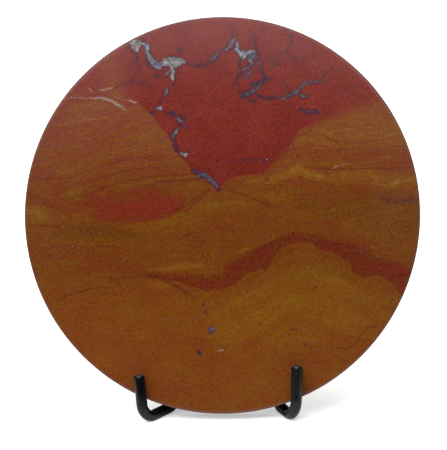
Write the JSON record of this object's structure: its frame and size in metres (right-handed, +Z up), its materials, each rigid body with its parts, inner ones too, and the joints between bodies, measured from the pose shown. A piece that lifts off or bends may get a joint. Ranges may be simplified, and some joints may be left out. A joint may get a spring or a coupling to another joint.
{
  "type": "polished stone slab on a display easel",
  "caption": "Round polished slab of red jasper leaning on a small black iron easel with round-ended hooks and a collared rear leg.",
  "frame": {"origin": "on the surface that the easel stands on, under the middle of the whole object's box", "axes": "+Z up; the slab's polished front looks towards -Y and leans back; +X to the viewer's right"},
  "size_m": [0.2, 0.1032, 0.1967],
  "materials": {
    "jasper": "polished",
    "iron": "satin"
  },
  "bodies": {
    "root": {"jasper_slab": "jasper", "left_leg": "iron", "right_leg": "iron", "rear_leg": "iron", "collar": "iron"}
  },
  "joints": []
}
